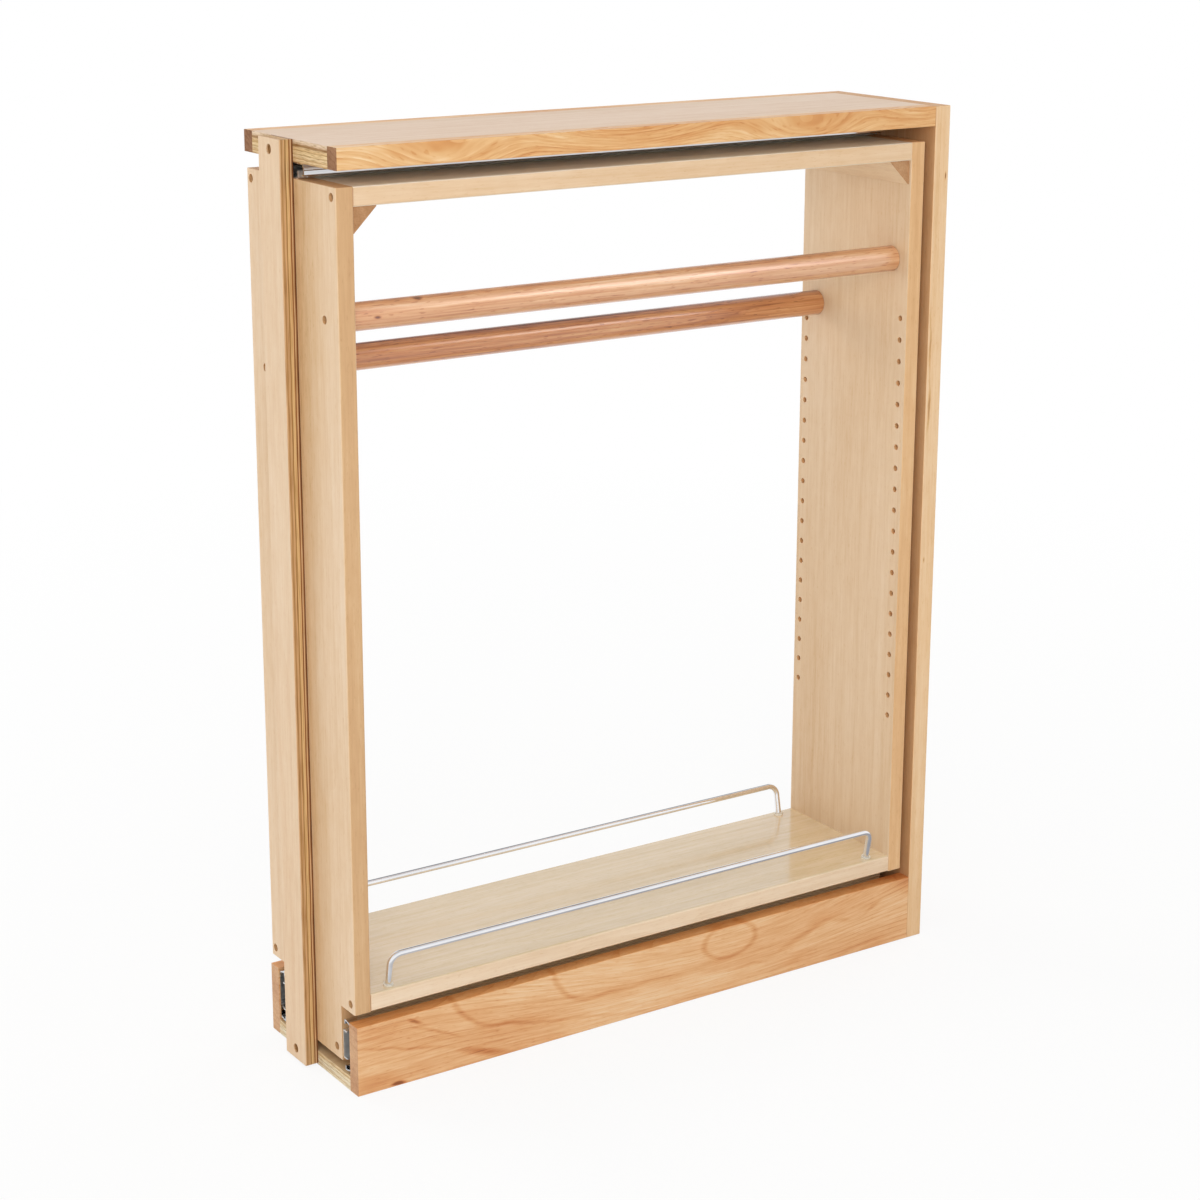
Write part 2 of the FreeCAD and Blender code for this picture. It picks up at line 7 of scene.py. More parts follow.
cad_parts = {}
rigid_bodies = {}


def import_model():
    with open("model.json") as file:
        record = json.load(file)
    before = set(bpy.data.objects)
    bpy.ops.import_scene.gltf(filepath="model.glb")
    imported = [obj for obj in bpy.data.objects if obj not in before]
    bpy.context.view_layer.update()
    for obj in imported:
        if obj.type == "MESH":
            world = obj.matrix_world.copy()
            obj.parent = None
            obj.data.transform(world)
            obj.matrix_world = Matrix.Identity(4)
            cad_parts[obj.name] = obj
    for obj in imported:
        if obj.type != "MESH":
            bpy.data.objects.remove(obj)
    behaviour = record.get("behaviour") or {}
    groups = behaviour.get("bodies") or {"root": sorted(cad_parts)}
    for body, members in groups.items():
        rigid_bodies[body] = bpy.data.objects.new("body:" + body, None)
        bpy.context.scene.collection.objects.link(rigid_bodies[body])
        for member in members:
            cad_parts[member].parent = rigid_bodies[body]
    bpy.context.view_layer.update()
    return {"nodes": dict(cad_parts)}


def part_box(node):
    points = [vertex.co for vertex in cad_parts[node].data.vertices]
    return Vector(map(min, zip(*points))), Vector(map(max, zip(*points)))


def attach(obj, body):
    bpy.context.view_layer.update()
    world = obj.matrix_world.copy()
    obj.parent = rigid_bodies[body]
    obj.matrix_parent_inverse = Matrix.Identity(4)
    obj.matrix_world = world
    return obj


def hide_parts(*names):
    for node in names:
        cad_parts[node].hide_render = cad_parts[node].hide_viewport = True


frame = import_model()
nodes = frame["nodes"]
scene = bpy.context.scene
scene.view_settings.view_transform = "Standard"


# hex colours are as they look on screen, the shaders want them linear
def linear(tone):
    values = [int(tone[i:i + 2], 16) / 255 for i in (0, 2, 4)]
    values = [v / 12.92 if v <= 0.04045 else ((v + 0.055) / 1.055) ** 2.4 for v in values]
    return (*values, 1.0)


# an input, by socket name or number, is a plain value or a socket or node to link; stops are a ramp's tones.
# map range reads 1 to 2 and gives 3 to 4, and a colour mix goes from 6 to 7
def addNode(tree, kind, inputs=None, stops=(), **settings):
    node = tree.nodes.new(kind)
    for key, value in settings.items():
        setattr(node, key, value)
    for key, value in (inputs or {}).items():
        source = value.outputs[0] if isinstance(value, bpy.types.Node) else value
        if isinstance(source, bpy.types.NodeSocket):
            tree.links.new(source, node.inputs[key])
        else:
            node.inputs[key].default_value = source
    for i, (spot, tone) in enumerate(stops):
        elements = node.color_ramp.elements
        if i == 0:
            elements.remove(elements[1])
            elements[0].position = spot
        element = elements[0] if i == 0 else elements.new(spot)
        element.color = linear(tone)
    return node


def startMaterial(name):
    material = bpy.data.materials.new(name)
    material.use_nodes = True
    material.node_tree.nodes.clear()
    return material, material.node_tree


# 1 in the middle of a spot, falling softly to 0 at its edge. it may lean, be only a rim, or run on: then just
# its lower front corner is curved, and it goes on straight upwards and, fading out, along +y
openWays = (9, 0, 0)  # y and z past the middle count as 0


def hillAt(tree, place, spot):
    if "lean" in spot:
        place = addNode(tree, "ShaderNodeVectorRotate", {
            "Vector": place, "Center": spot["place"], "Angle": math.radians(spot["lean"]),
        }, rotation_type="X_AXIS")
    offset = addNode(tree, "ShaderNodeVectorMath", {0: place, 1: spot["place"]}, operation="SUBTRACT")
    away = addNode(tree, "ShaderNodeVectorMath", {0: offset, 1: spot["size"]}, operation="DIVIDE")
    height = 1.0
    if "runsOn" in spot:
        away = addNode(tree, "ShaderNodeVectorMath", {0: away, 1: openWays}, operation="MINIMUM")
        onward = addNode(tree, "ShaderNodeSeparateXYZ", {0: offset}).outputs["Y"]
        height = addNode(tree, "ShaderNodeMapRange", {0: onward, 1: 0.0, 2: spot["runsOn"], 3: 1.0, 4: 0.0})
    away = addNode(tree, "ShaderNodeVectorMath", {0: away}, operation="LENGTH").outputs["Value"]
    if "rim" in spot:
        away = addNode(tree, "ShaderNodeMath", {0: away, 1: 1.0}, operation="SUBTRACT")
        away = addNode(tree, "ShaderNodeMath", {0: away}, operation="ABSOLUTE")
    return addNode(tree, "ShaderNodeMapRange", {0: away, 1: spot.get("rim", 1.0), 2: 0.0, 4: height},
                   interpolation_type="SMOOTHSTEP")


# camera at the photograph's angle, its axis a little above the middle of the frame
cameraSpec = {
    "azimuth": 56.36, "elevation": 15.13, "roll": 0.15,
    "target": (0.0, -0.0062, 0.4065), "distance": 2.206,
    "focalPixels": 2603.1, "imagePixels": 1200, "axisPixel": (600, 540),
    "sensorWidth": 36, "clipEnd": 100,
}


def addCamera(spec):
    az, el, roll = (math.radians(spec[key]) for key in ("azimuth", "elevation", "roll"))
    back = Vector((math.sin(az) * math.cos(el), -math.cos(az) * math.cos(el), math.sin(el)))
    level = Vector((math.cos(az), math.sin(az), 0))
    plumb = back.cross(level)
    right = level * math.cos(roll) + plumb * math.sin(roll)
    up = plumb * math.cos(roll) - level * math.sin(roll)
    data = bpy.data.cameras.new("photoCamera")
    data.sensor_width = spec["sensorWidth"]
    data.lens = spec["focalPixels"] / spec["imagePixels"] * data.sensor_width
    data.shift_x = 0.5 - spec["axisPixel"][0] / spec["imagePixels"]
    data.shift_y = spec["axisPixel"][1] / spec["imagePixels"] - 0.5
    data.clip_end = spec["clipEnd"]
    camera = bpy.data.objects.new("photoCamera", data)
    place = Vector(spec["target"]) + back * spec["distance"]
    turned = Matrix((right, up, back)).transposed().to_4x4()
    camera.matrix_world = Matrix.Translation(place) @ turned
    scene.collection.objects.link(camera)
    scene.camera = camera


addCamera(cameraSpec)
print("camera placed")


# soft studio: white behind, and an even, quieter light on the object. metal mirrors a dome with a dark flag,
# and a floor with a grey one on the near side
studioSpec = {
    "even": 0.56,
    "dome": [(0.0, "ffffff"), (0.72, "ffffff"), (0.90, "ececef"), (1.0, "bfc1c7")],
    "flag": {"place": (-0.60, 0.42, 0.66), "size": (0.58, 0.58, 0.46), "tone": "101113"},
    "lamps": [
        {"name": "leftBox", "place": (-2.7, -1.15, 1.25), "size": 1.8, "power": 28},
        {"name": "sideBox", "place": (2.35, -1.45, 1.45), "size": 1.6, "power": 27},
        {"name": "rearBox", "place": (-0.8, 2.9, 1.0), "size": 1.8, "power": 20},
        {"name": "overheadBox", "place": (0.6, -0.4, 2.7), "size": 2.0, "power": 12},
        {"name": "glintCard", "place": (1.64, 1.38, 1.88), "size": 1.3, "power": 16, "mirrored": True},
    ],
    "aim": (0.0, 0.0, 0.4),
    "floorSize": 30.0, "floorDrop": 0.0003, "floorGlow": (0.86, 1.0), "glowRange": (0.5, 2.0),
    "paperGrit": 1.111, "paperTones": [(0.3, "f3f3f1"), (0.7, "f8f8f7")],
    "floorFlag": {"place": (0.20, 0.35, 0.0), "size": (0.42, 1.4, 1.0), "tone": "8a8b92"},
}


def addWorld(spec):
    world = bpy.data.worlds.new("softStudio")
    world.use_nodes = True
    tree = world.node_tree
    tree.nodes.clear()
    path = addNode(tree, "ShaderNodeLightPath")
    way = addNode(tree, "ShaderNodeTexCoord").outputs["Generated"]
    rise = addNode(tree, "ShaderNodeSeparateXYZ", {0: way}).outputs["Z"]
    height = addNode(tree, "ShaderNodeMapRange", {0: rise, 1: -1.0})
    dome = addNode(tree, "ShaderNodeValToRGB", {0: height}, stops=spec["dome"])
    dark = hillAt(tree, way, spec["flag"])
    dome = addNode(tree, "ShaderNodeMix", {0: dark, 6: dome.outputs[0], 7: linear(spec["flag"]["tone"])},
                   data_type="RGBA").outputs[2]
    plain = addNode(tree, "ShaderNodeBackground", {"Color": (1, 1, 1, 1), "Strength": spec["even"]})
    white = addNode(tree, "ShaderNodeBackground", {"Color": (1, 1, 1, 1), "Strength": 1.0})
    mirrored = addNode(tree, "ShaderNodeBackground", {"Color": dome, "Strength": 1.0})
    shader = addNode(tree, "ShaderNodeMixShader", {0: path.outputs["Is Glossy Ray"], 1: plain, 2: mirrored})
    for ray in ("Is Camera Ray", "Is Transmission Ray"):
        shader = addNode(tree, "ShaderNodeMixShader", {0: path.outputs[ray], 1: shader, 2: white})
    addNode(tree, "ShaderNodeOutputWorld", {"Surface": shader})
    scene.world = world


def addLamps(spec):
    for lamp in spec["lamps"]:
        data = bpy.data.lights.new(lamp["name"], "AREA")
        data.shape = "DISK"
        data.size = lamp["size"]
        data.energy = lamp["power"]
        light = bpy.data.objects.new(lamp["name"], data)
        light.location = lamp["place"]
        aim = Vector(spec["aim"]) - Vector(lamp["place"])
        light.rotation_euler = aim.to_track_quat("-Z", "Y").to_euler()
        light.visible_camera = False
        light.visible_glossy = lamp.get("mirrored", False)  # only the glint card is mirrored
        light.visible_diffuse = not light.visible_glossy
        scene.collection.objects.link(light)


# matte paper sweep: the shadow shows near the object, further out it is plain white.
# mirrors see no shadow, only the grey flag. the paper's grit is in millimetres, and it lies just under the object
def addFloor(spec):
    material, tree = startMaterial("mattePaperSweep")
    place = addNode(tree, "ShaderNodeTexCoord").outputs["Object"]
    path = addNode(tree, "ShaderNodeLightPath")
    away = addNode(tree, "ShaderNodeVectorMath", {0: place}, operation="LENGTH").outputs["Value"]
    near, far = spec["glowRange"]
    least, most = spec["floorGlow"]
    glow = addNode(tree, "ShaderNodeMapRange", {0: away, 1: near, 2: far, 3: least, 4: most})
    glossy = path.outputs["Is Glossy Ray"]
    seen = addNode(tree, "ShaderNodeMath", {0: path.outputs["Is Camera Ray"], 1: glossy}, operation="MAXIMUM")
    glow = addNode(tree, "ShaderNodeMath", {0: seen, 1: glow}, operation="MULTIPLY")
    grit = addNode(tree, "ShaderNodeTexNoise", {"Vector": place, "Scale": 1000 / spec["paperGrit"]})
    tone = addNode(tree, "ShaderNodeValToRGB", {0: grit}, stops=spec["paperTones"])
    paper = addNode(tree, "ShaderNodeBsdfPrincipled", {
        "Base Color": tone, "Roughness": 0.9, "Specular IOR Level": 0.1,
    })
    flag = spec["floorFlag"]
    dim = addNode(tree, "ShaderNodeMath", {0: hillAt(tree, place, flag), 1: glossy}, operation="MULTIPLY")
    plain = addNode(tree, "ShaderNodeMix", {0: dim, 6: (1, 1, 1, 1), 7: linear(flag["tone"])},
                    data_type="RGBA").outputs[2]
    plain = addNode(tree, "ShaderNodeEmission", {"Color": plain, "Strength": 1.0})
    shader = addNode(tree, "ShaderNodeMixShader", {0: glow, 1: paper, 2: plain})
    addNode(tree, "ShaderNodeOutputMaterial", {"Surface": shader})
    bm = bmesh.new()
    bmesh.ops.create_grid(bm, x_segments=1, y_segments=1, size=spec["floorSize"])
    bmesh.ops.translate(bm, verts=bm.verts, vec=(0, 0, -spec["floorDrop"]))
    mesh = bpy.data.meshes.new("paperSweep")
    bm.to_mesh(mesh)
    bm.free()
    mesh.materials.append(material)
    floor = bpy.data.objects.new("paperSweep", mesh)
    scene.collection.objects.link(floor)


addWorld(studioSpec)
addLamps(studioSpec)
addFloor(studioSpec)
print("studio ready")


def evenStops(tones):
    return [(i / (len(tones) - 1), tone) for i, tone in enumerate(tones)]


# what all the woods share: how far a face must turn to count as a cut end or a narrow side,
# how single marks stray and layers wave, in millimetres, and the fineness of the surface
woodLook = {
    "noiseRough": 0.55, "ringFade": (0.35, 0.6), "poreEdge": 0.08,
    "strayLength": 30, "stray": 7.0, "plyWave": 1.2, "speckStops": [(0.3, "ccbca2"), (0.55, "ffffff")],
    "endTurn": (0.55, 0.8), "sideTurn": (0.45, 0.75),
    "endGloss": 0.1, "paleRough": -0.05, "darkRough": 0.1, "bump": 0.3, "bumpDepth": 0.00015,
    "ior": 1.5, "coatIor": 1.6,
}


# wood: layers of stretched noise add up to a darkness that picks a tone, from pale early wood to the dark line.
# sizes are millimetres along, across and through the grain; fibres are drawn wider than real ones, to show
def woodMaterial(spec):
    look = woodLook
    material, tree = startMaterial(spec["name"])
    coords = addNode(tree, "ShaderNodeTexCoord")
    place = coords.outputs["Object"]
    axes = addNode(tree, "ShaderNodeSeparateXYZ", {0: place})
    lean = addNode(tree, "ShaderNodeSeparateXYZ", {0: coords.outputs["Normal"]})
    along, across, through = (axes.outputs[axis] for axis in spec["grain"])

    # rings slope through the board, and swells push the grain aside so that it runs round them
    across = addNode(tree, "ShaderNodeMath", {0: through, 1: spec["slope"], 2: across}, operation="MULTIPLY_ADD")
    for swell in spec.get("swells", []):
        hill = hillAt(tree, place, swell)
        across = addNode(tree, "ShaderNodeMath", {0: hill, 1: swell["height"], 2: across}, operation="MULTIPLY_ADD")
    grain = addNode(tree, "ShaderNodeCombineXYZ", {0: along, 1: across, 2: through})

    darkness = spec["base"]
    for i, layer in enumerate(spec["layers"]):
        scale = [1000 / size for size in layer["size"]]
        shift = (spec["seed"] + 7 * i, spec["seed"] * 2, spec["seed"] * 3)
        spread = addNode(tree, "ShaderNodeVectorMath", {0: grain, 1: scale, 2: shift}, operation="MULTIPLY_ADD")
        value = addNode(tree, "ShaderNodeTexNoise", {
            "Vector": spread, "Scale": 1.0, "Detail": layer["detail"], "Roughness": look["noiseRough"],
        })
        if "spacing" in layer:
            rings = addNode(tree, "ShaderNodeMath", {0: across, 1: 1000 / layer["spacing"]}, operation="MULTIPLY")
            rings = addNode(tree, "ShaderNodeMath", {0: value, 1: layer["wander"], 2: rings},
                            operation="MULTIPLY_ADD")
            rings = addNode(tree, "ShaderNodeMath", {0: rings}, operation="FRACT")
            rings = addNode(tree, "ShaderNodeMath", {0: rings, 1: layer["sharp"]}, operation="POWER")
            low, high = look["ringFade"]
            fade = addNode(tree, "ShaderNodeMapRange", {0: value, 1: low, 2: high, 3: 1.0, 4: layer["faint"]})
            value = addNode(tree, "ShaderNodeMath", {0: rings, 1: fade}, operation="MULTIPLY")
        elif "above" in layer:
            full = layer["above"] + look["poreEdge"]
            value = addNode(tree, "ShaderNodeMapRange", {0: value, 1: layer["above"], 2: full})
        else:
            value = addNode(tree, "ShaderNodeMath", {0: value, 1: 0.5}, operation="SUBTRACT")
        darkness = addNode(tree, "ShaderNodeMath", {0: value, 1: layer["weight"], 2: darkness},
                           operation="MULTIPLY_ADD")

    # single marks, real ones and painted shade, their outlines straying a few millimetres
    stray = addNode(tree, "ShaderNodeTexNoise", {"Vector": place, "Scale": 1000 / look["strayLength"]})
    stray = addNode(tree, "ShaderNodeVectorMath", {0: stray.outputs["Color"], 1: (0.5, 0.5, 0.5)},
                    operation="SUBTRACT")
    stray = addNode(tree, "ShaderNodeVectorMath", {0: stray, 1: [look["stray"] / 1000] * 3, 2: place},
                    operation="MULTIPLY_ADD")
    for spot in spec.get("spots", []):
        hill = hillAt(tree, stray, spot)
        darkness = addNode(tree, "ShaderNodeMath", {0: hill, 1: spot["weight"], 2: darkness},
                           operation="MULTIPLY_ADD")
    colour = addNode(tree, "ShaderNodeValToRGB", {0: darkness}, stops=evenStops(spec["tones"]))

    # cut ends show their own darker tones
    endOn = addNode(tree, "ShaderNodeMath", {0: lean.outputs[spec["grain"][0]]}, operation="ABSOLUTE")
    endOn = addNode(tree, "ShaderNodeMapRange", {0: endOn, 1: look["endTurn"][0], 2: look["endTurn"][1]})
    ends = addNode(tree, "ShaderNodeValToRGB", {0: darkness}, stops=evenStops(spec["ends"]))
    colour = addNode(tree, "ShaderNodeMix", {0: endOn, 6: colour, 7: ends}, data_type="RGBA").outputs[2]

    # the narrow sides and the broad faces can take different tones: edging, the layers of the board, or on some
    # boards painted light and shade;
    # cut ends follow the narrow sides, unless the edging leaves them as they are
    if "edge" in spec:
        edge = spec["edge"]
        facing = addNode(tree, "ShaderNodeMath", {0: lean.outputs[edge["face"]]}, operation="ABSOLUTE")
        flat = addNode(tree, "ShaderNodeMapRange", {0: facing, 1: look["sideTurn"][0], 2: look["sideTurn"][1]})
        if edge.get("keepEnds"):
            flat = addNode(tree, "ShaderNodeMath", {0: flat, 1: endOn}, operation="MAXIMUM")
        if "plies" in edge:
            low, high = edge["span"]
            thick = (high - low) * 1000
            depth = addNode(tree, "ShaderNodeMapRange", {0: axes.outputs[edge["face"]], 1: low, 2: high})
            spread = addNode(tree, "ShaderNodeVectorMath", {0: place, "Scale": 1000 / edge["wave"]},
                             operation="SCALE")
            wave = addNode(tree, "ShaderNodeTexNoise", {"Vector": spread, "Scale": 1.0, "Detail": 1.0})
            wave = addNode(tree, "ShaderNodeMath", {0: wave, 1: 0.5}, operation="SUBTRACT")
            depth = addNode(tree, "ShaderNodeMath", {0: wave, 1: look["plyWave"] / thick, 2: depth},
                            operation="MULTIPLY_ADD")
            plies = [(level / thick, tone) for level, tone in edge["plies"]]
            layers = addNode(tree, "ShaderNodeValToRGB", {0: depth}, stops=plies)
            scale = [1000 / size for size in edge["speck"]]
            spread = addNode(tree, "ShaderNodeVectorMath", {0: place, 1: scale}, operation="MULTIPLY")
            speck = addNode(tree, "ShaderNodeTexNoise", {"Vector": spread, "Scale": 1.0, "Detail": 3.0})
            speck = addNode(tree, "ShaderNodeValToRGB", {0: speck}, stops=look["speckStops"])
            side = addNode(tree, "ShaderNodeMix", {0: 1.0, 6: layers, 7: speck}, data_type="RGBA",
                           blend_type="MULTIPLY").outputs[2]
        else:
            side = addNode(tree, "ShaderNodeValToRGB", {0: darkness}, stops=evenStops(edge["tones"]))
        colour = addNode(tree, "ShaderNodeMix", {0: flat, 6: side, 7: colour}, data_type="RGBA").outputs[2]

    # the lacquer sinks into cut ends, so they shine less, and dark wood is rougher than pale
    gloss = addNode(tree, "ShaderNodeMapRange", {0: endOn, 3: spec["gloss"], 4: look["endGloss"]})
    rough = addNode(tree, "ShaderNodeMapRange", {
        0: darkness, 3: spec["rough"] + look["paleRough"], 4: spec["rough"] + look["darkRough"],
    })
    bump = addNode(tree, "ShaderNodeBump", {
        "Strength": look["bump"], "Distance": look["bumpDepth"], "Height": darkness,
    })
    shader = addNode(tree, "ShaderNodeBsdfPrincipled", {
        "Base Color": colour, "Roughness": rough, "Normal": bump, "IOR": look["ior"],
        "Specular IOR Level": gloss, "Coat Weight": spec["coat"], "Coat Roughness": spec["coatRough"],
        "Coat IOR": look["coatIor"],
    })
    addNode(tree, "ShaderNodeOutputMaterial", {"Surface": shader})
    return material


# lacquered maple veneer, sanded and sprayed: pale and close grained, faint streaks, soft gloss
maple = {
    "base": 0.36, "slope": 0.3, "rough": 0.42, "gloss": 0.4, "coat": 0.0, "coatRough": 0.11,
    "tones": ["f6dfc4", "ecceab", "dfb88e", "bb8a5a"], "ends": ["e6c9a2", "d6b184", "c39a68", "94683c"],
    "layers": [
        {"size": (420, 60, 60), "detail": 1.0,
         "spacing": 19, "wander": 5.0, "sharp": 4.0, "faint": 0.2, "weight": 0.1},
        {"size": (300, 80, 80), "detail": 1.0, "weight": 0.35},
        {"size": (260, 6, 6), "detail": 2.0, "weight": 0.36},
        {"size": (16, 9, 9), "detail": 1.0, "weight": 0.16},
        {"size": (5, 0.9, 0.9), "detail": 0.0, "above": 0.68, "weight": 0.12},
        {"size": (34, 1.6, 1.6), "detail": 1.0, "weight": 0.3},
    ],
}
frontMaple = woodMaterial({**maple, "name": "sprayedMapleFront", "grain": "ZXY", "seed": 3.0,
                           "tones": ["f6dfc4", "ecceab", "dfb98b", "bd8d55"],
                           # the long spot beside the strip is painted shade: a warm, darker band on the panel that
                           # stands for the strip's shadow and the light it bounces onto it
                           "spots": [{"place": (0.0065, -0.289, 0.38), "size": (0.05, 0.02, 6.0), "weight": 0.3}],
                           "edge": {"face": "Y", "tones": ["e2c197", "d5ac7e", "c5976a", "9b6b3e"]}})
# the rear panel's face tones are drawn darker than the front panel's, a painted shade for its face inside the
# pull-out
rearPanelMaple = woodMaterial({**maple, "name": "sprayedMapleRearPanel", "grain": "ZXY", "seed": 8.0,
                               "tones": ["e8d2b8", "ddc19f", "d0ac82", "ae8050"],
                               "edge": {"face": "Y", "tones": ["edca9c", "e2b583", "d29f69", "a87747"]}})
# the top rail's wide faces get pale grey tones, a painted sheen and painted light on its upper face in the shaded
# gap under the top; its narrow sides keep maple tones
railMaple = woodMaterial({**maple, "name": "sprayedMapleTopRail", "grain": "YXZ", "seed": 11.0,
                          "tones": ["faf3e4", "f2e8d4", "e4d6ba", "baa480"],
                          "edge": {"face": "Z", "tones": ["f1d9bb", "e8c8a3", "dbb486", "b28354"]}})
shelfMaple = woodMaterial({**maple, "name": "sprayedMapleShelf", "grain": "YXZ", "seed": 14.0,
                           "rough": 0.16, "gloss": 0.5, "coat": 1.0,
                           "tones": ["f2e0c7", "e6d0ac", "d5ba8a", "b08d5d"],
                           "edge": {"face": "Z", "tones": ["fae6cc", "f1d6b5", "e1be95", "bb8c5a"]}})
topMaple = woodMaterial({
    **maple, "name": "sprayedMapleTop", "grain": "YXZ", "seed": 17.0, "gloss": 0.45,
    "tones": ["f0dac3", "e6cab0", "d6b290", "b78c62"],
    "edge": {"face": "Z", "span": (0.745, 0.762), "wave": 45, "speck": (9, 9, 0.7), "plies": [
        (0.0, "cfa470"), (0.7, "e0bd8c"), (2.2, "eed2a4"), (2.8, "c79c66"), (3.4, "e2c090"), (5.2, "f2d8ac"),
        (6.0, "caa46e"), (6.6, "eacc9c"), (8.6, "ecce9c"), (9.2, "c69c66"), (9.8, "e2c08c"), (11.4, "e4c394"),
        (12.2, "ac8456"), (13.2, "a88054"), (14.0, "e0c09c"), (15.5, "ecd2b4"), (17.0, "eed6bc")]},
})

# birch plywood, sawn and left raw at the edges: pale face, tan and brown layers
stripPly = woodMaterial({
    **maple, "name": "sawnBirchPlywoodStrip", "grain": "ZXY", "seed": 23.0,
    "edge": {"face": "Y", "span": (-0.30075, -0.28925), "wave": 60, "speck": (0.8, 0.8, 30), "plies": [
        (0.0, "e4c29c"), (1.0, "d8b084"), (1.4, "b48858"), (2.6, "bc905e"), (3.0, "d2aa7c"), (4.2, "d0a878"),
        (4.6, "a2763f"), (5.2, "a87c48"), (5.6, "e0bc86"), (7.6, "dcb680"), (8.0, "9c6638"), (8.9, "946030"),
        # the ramp ends in near black at the back face, a painted shadow line where the strip meets the panel
        (9.2, "e2be92"), (9.8, "dab488"), (10.2, "8e5a30"), (11.0, "7c4a26"), (11.5, "4c2c16")]},
})
basePly = woodMaterial({
    **maple, "name": "sawnBirchPlywoodBase", "grain": "YXZ", "seed": 29.0,
    "tones": ["eed6b2", "e2c497", "d1ab79", "a97c48"],
    "edge": {"face": "Z", "span": (0.0, 0.0125), "wave": 45, "speck": (9, 9, 0.7), "plies": [
        (0.0, "f6e8cc"), (2.2, "f4e4c4"), (2.8, "d6b888"), (3.6, "eedcb8"), (5.8, "fcf2dc"), (6.4, "dec498"),
        (7.2, "f2e2c0"), (9.0, "f6e4c2"), (9.6, "d1b07e"), (10.6, "e6c99a"), (12.5, "eed8b2")]},
})
runnerPly = woodMaterial({**maple, "name": "sawnBirchPlywoodRunner", "grain": "YZX", "seed": 31.0,
                          "tones": ["eed6b2", "e2c497", "d1ab79", "a97c48"]})
# solid maple offcut, sawn: pale along the grain, its long-grain tones drawn paler still as painted bounce light on
# the shaded slope, brown and dull at the cut ends
blockMaple = woodMaterial({**maple, "name": "sawnMapleBlock", "grain": "XYZ", "seed": 59.0, "rough": 0.5,
                           "tones": ["f4dfc2", "e6c9a4", "d2ad84", "a0744a"],
                           "ends": ["d8b48e", "bd9068", "9f7048", "6c421c"]})

# lacquered alder, plain sawn: honey ground, reddish contour lines round long ovals, darker cut ends
alder = {
    "base": 0.3, "slope": 0.5, "rough": 0.4, "gloss": 0.4, "coat": 0.0, "coatRough": 0.11,
    "tones": ["f4d4ac", "ebbd8b", "dda069", "c87f4a", "94562e"],
    "ends": ["e8c296", "d8ac84", "c69570", "a67452", "784e34"],
    "layers": [
        {"size": (150, 40, 40), "detail": 2.0,
         "spacing": 11, "wander": 1.0, "sharp": 6.0, "faint": 0.3, "weight": 0.22},
        {"size": (150, 30, 30), "detail": 2.0, "weight": 0.7},
        {"size": (34, 12, 12), "detail": 1.0, "weight": 0.25},
        {"size": (70, 2.6, 2.6), "detail": 2.0, "weight": 0.32},
        {"size": (7, 1.0, 1.0), "detail": 0.0, "above": 0.68, "weight": 0.14},
        {"size": (20, 1.4, 1.4), "detail": 1.0, "weight": 0.5},
    ],
}
alderRail = woodMaterial({
    **alder, "name": "sprayedAlderRail", "grain": "YZX", "seed": 41.0, "slope": 0.2,
    # the rail's top and bottom faces get more orange tones, painted warm bounce light and shade under the shelf;
    # the cut ends keep their own tones
    "edge": {"face": "X", "keepEnds": True, "tones": ["f0bc83", "e7a769", "d88e4f", "c47036", "924b20"]},
    "swells": [
        {"place": (0.07, 0.075, 0.064), "size": (0.3, 0.34, 0.080), "height": 0.055},
    ],
    # the near rail's own figure: an oval, two long hooks and some dashes, not deep enough to reach the far rail
    "spots": [
        {"place": (0.0762, 0.081, 0.047), "size": (0.05, 0.028, 0.0155), "rim": 0.2, "weight": 0.2},
        {"place": (0.0762, -0.062, 0.062), "size": (0.05, 0.039, 0.0325), "rim": 0.12,
         "runsOn": 0.16, "weight": 0.2},
        {"place": (0.0762, -0.140, 0.055), "size": (0.05, 0.059, 0.0295), "rim": 0.1,
         "runsOn": 0.3, "lean": 10, "weight": 0.2},
        {"place": (0.0762, -0.245, 0.031), "size": (0.05, 0.065, 0.0024), "lean": 13, "weight": 0.22},
        {"place": (0.0762, -0.216, 0.038), "size": (0.05, 0.040, 0.0024), "lean": 23, "weight": 0.2},
        {"place": (0.0762, -0.236, 0.052), "size": (0.05, 0.011, 0.0028), "lean": 28, "weight": 0.45},
        {"place": (0.0762, -0.251, 0.002), "size": (0.05, 0.010, 0.0026), "weight": 0.9},
        {"place": (0.0762, -0.280, 0.007), "size": (0.05, 0.050, 0.0130), "weight": 0.22},
        {"place": (0.0762, -0.170, 0.009), "size": (0.05, 0.036, 0.0055), "lean": 17, "weight": 0.42},
        {"place": (0.0762, 0.163, 0.032), "size": (0.05, 0.048, 0.0046), "lean": -17, "weight": 0.22},
        {"place": (0.0762, 0.207, 0.036), "size": (0.05, 0.016, 0.0030), "lean": 12, "weight": 0.18},
        {"place": (0.0762, 0.241, 0.041), "size": (0.05, 0.020, 0.0034), "lean": -26, "weight": 0.2},
        {"place": (0.0762, 0.290, 0.060), "size": (0.05, 0.050, 0.0240), "weight": 0.34},
        {"place": (0.0762, 0.104, 0.0175), "size": (0.05, 0.032, 0.0026), "weight": 0.2},
        {"place": (0.0762, -0.020, 0.010), "size": (0.05, 0.200, 0.0220), "weight": -0.12},
    ],
    "layers": [
        {"size": (170, 40, 40), "detail": 1.0,
         "spacing": 6.5, "wander": 2.4, "sharp": 7.0, "faint": 0.35, "weight": 0.26},
        {"size": (150, 30, 30), "detail": 2.0, "weight": 0.6},
        {"size": (34, 12, 12), "detail": 1.0, "weight": 0.2},
        {"size": (70, 2.6, 2.6), "detail": 2.0, "weight": 0.26},
        {"size": (7, 1.0, 1.0), "detail": 0.0, "above": 0.68, "weight": 0.14},
        {"size": (20, 1.4, 1.4), "detail": 1.0, "weight": 0.4},
    ],
})
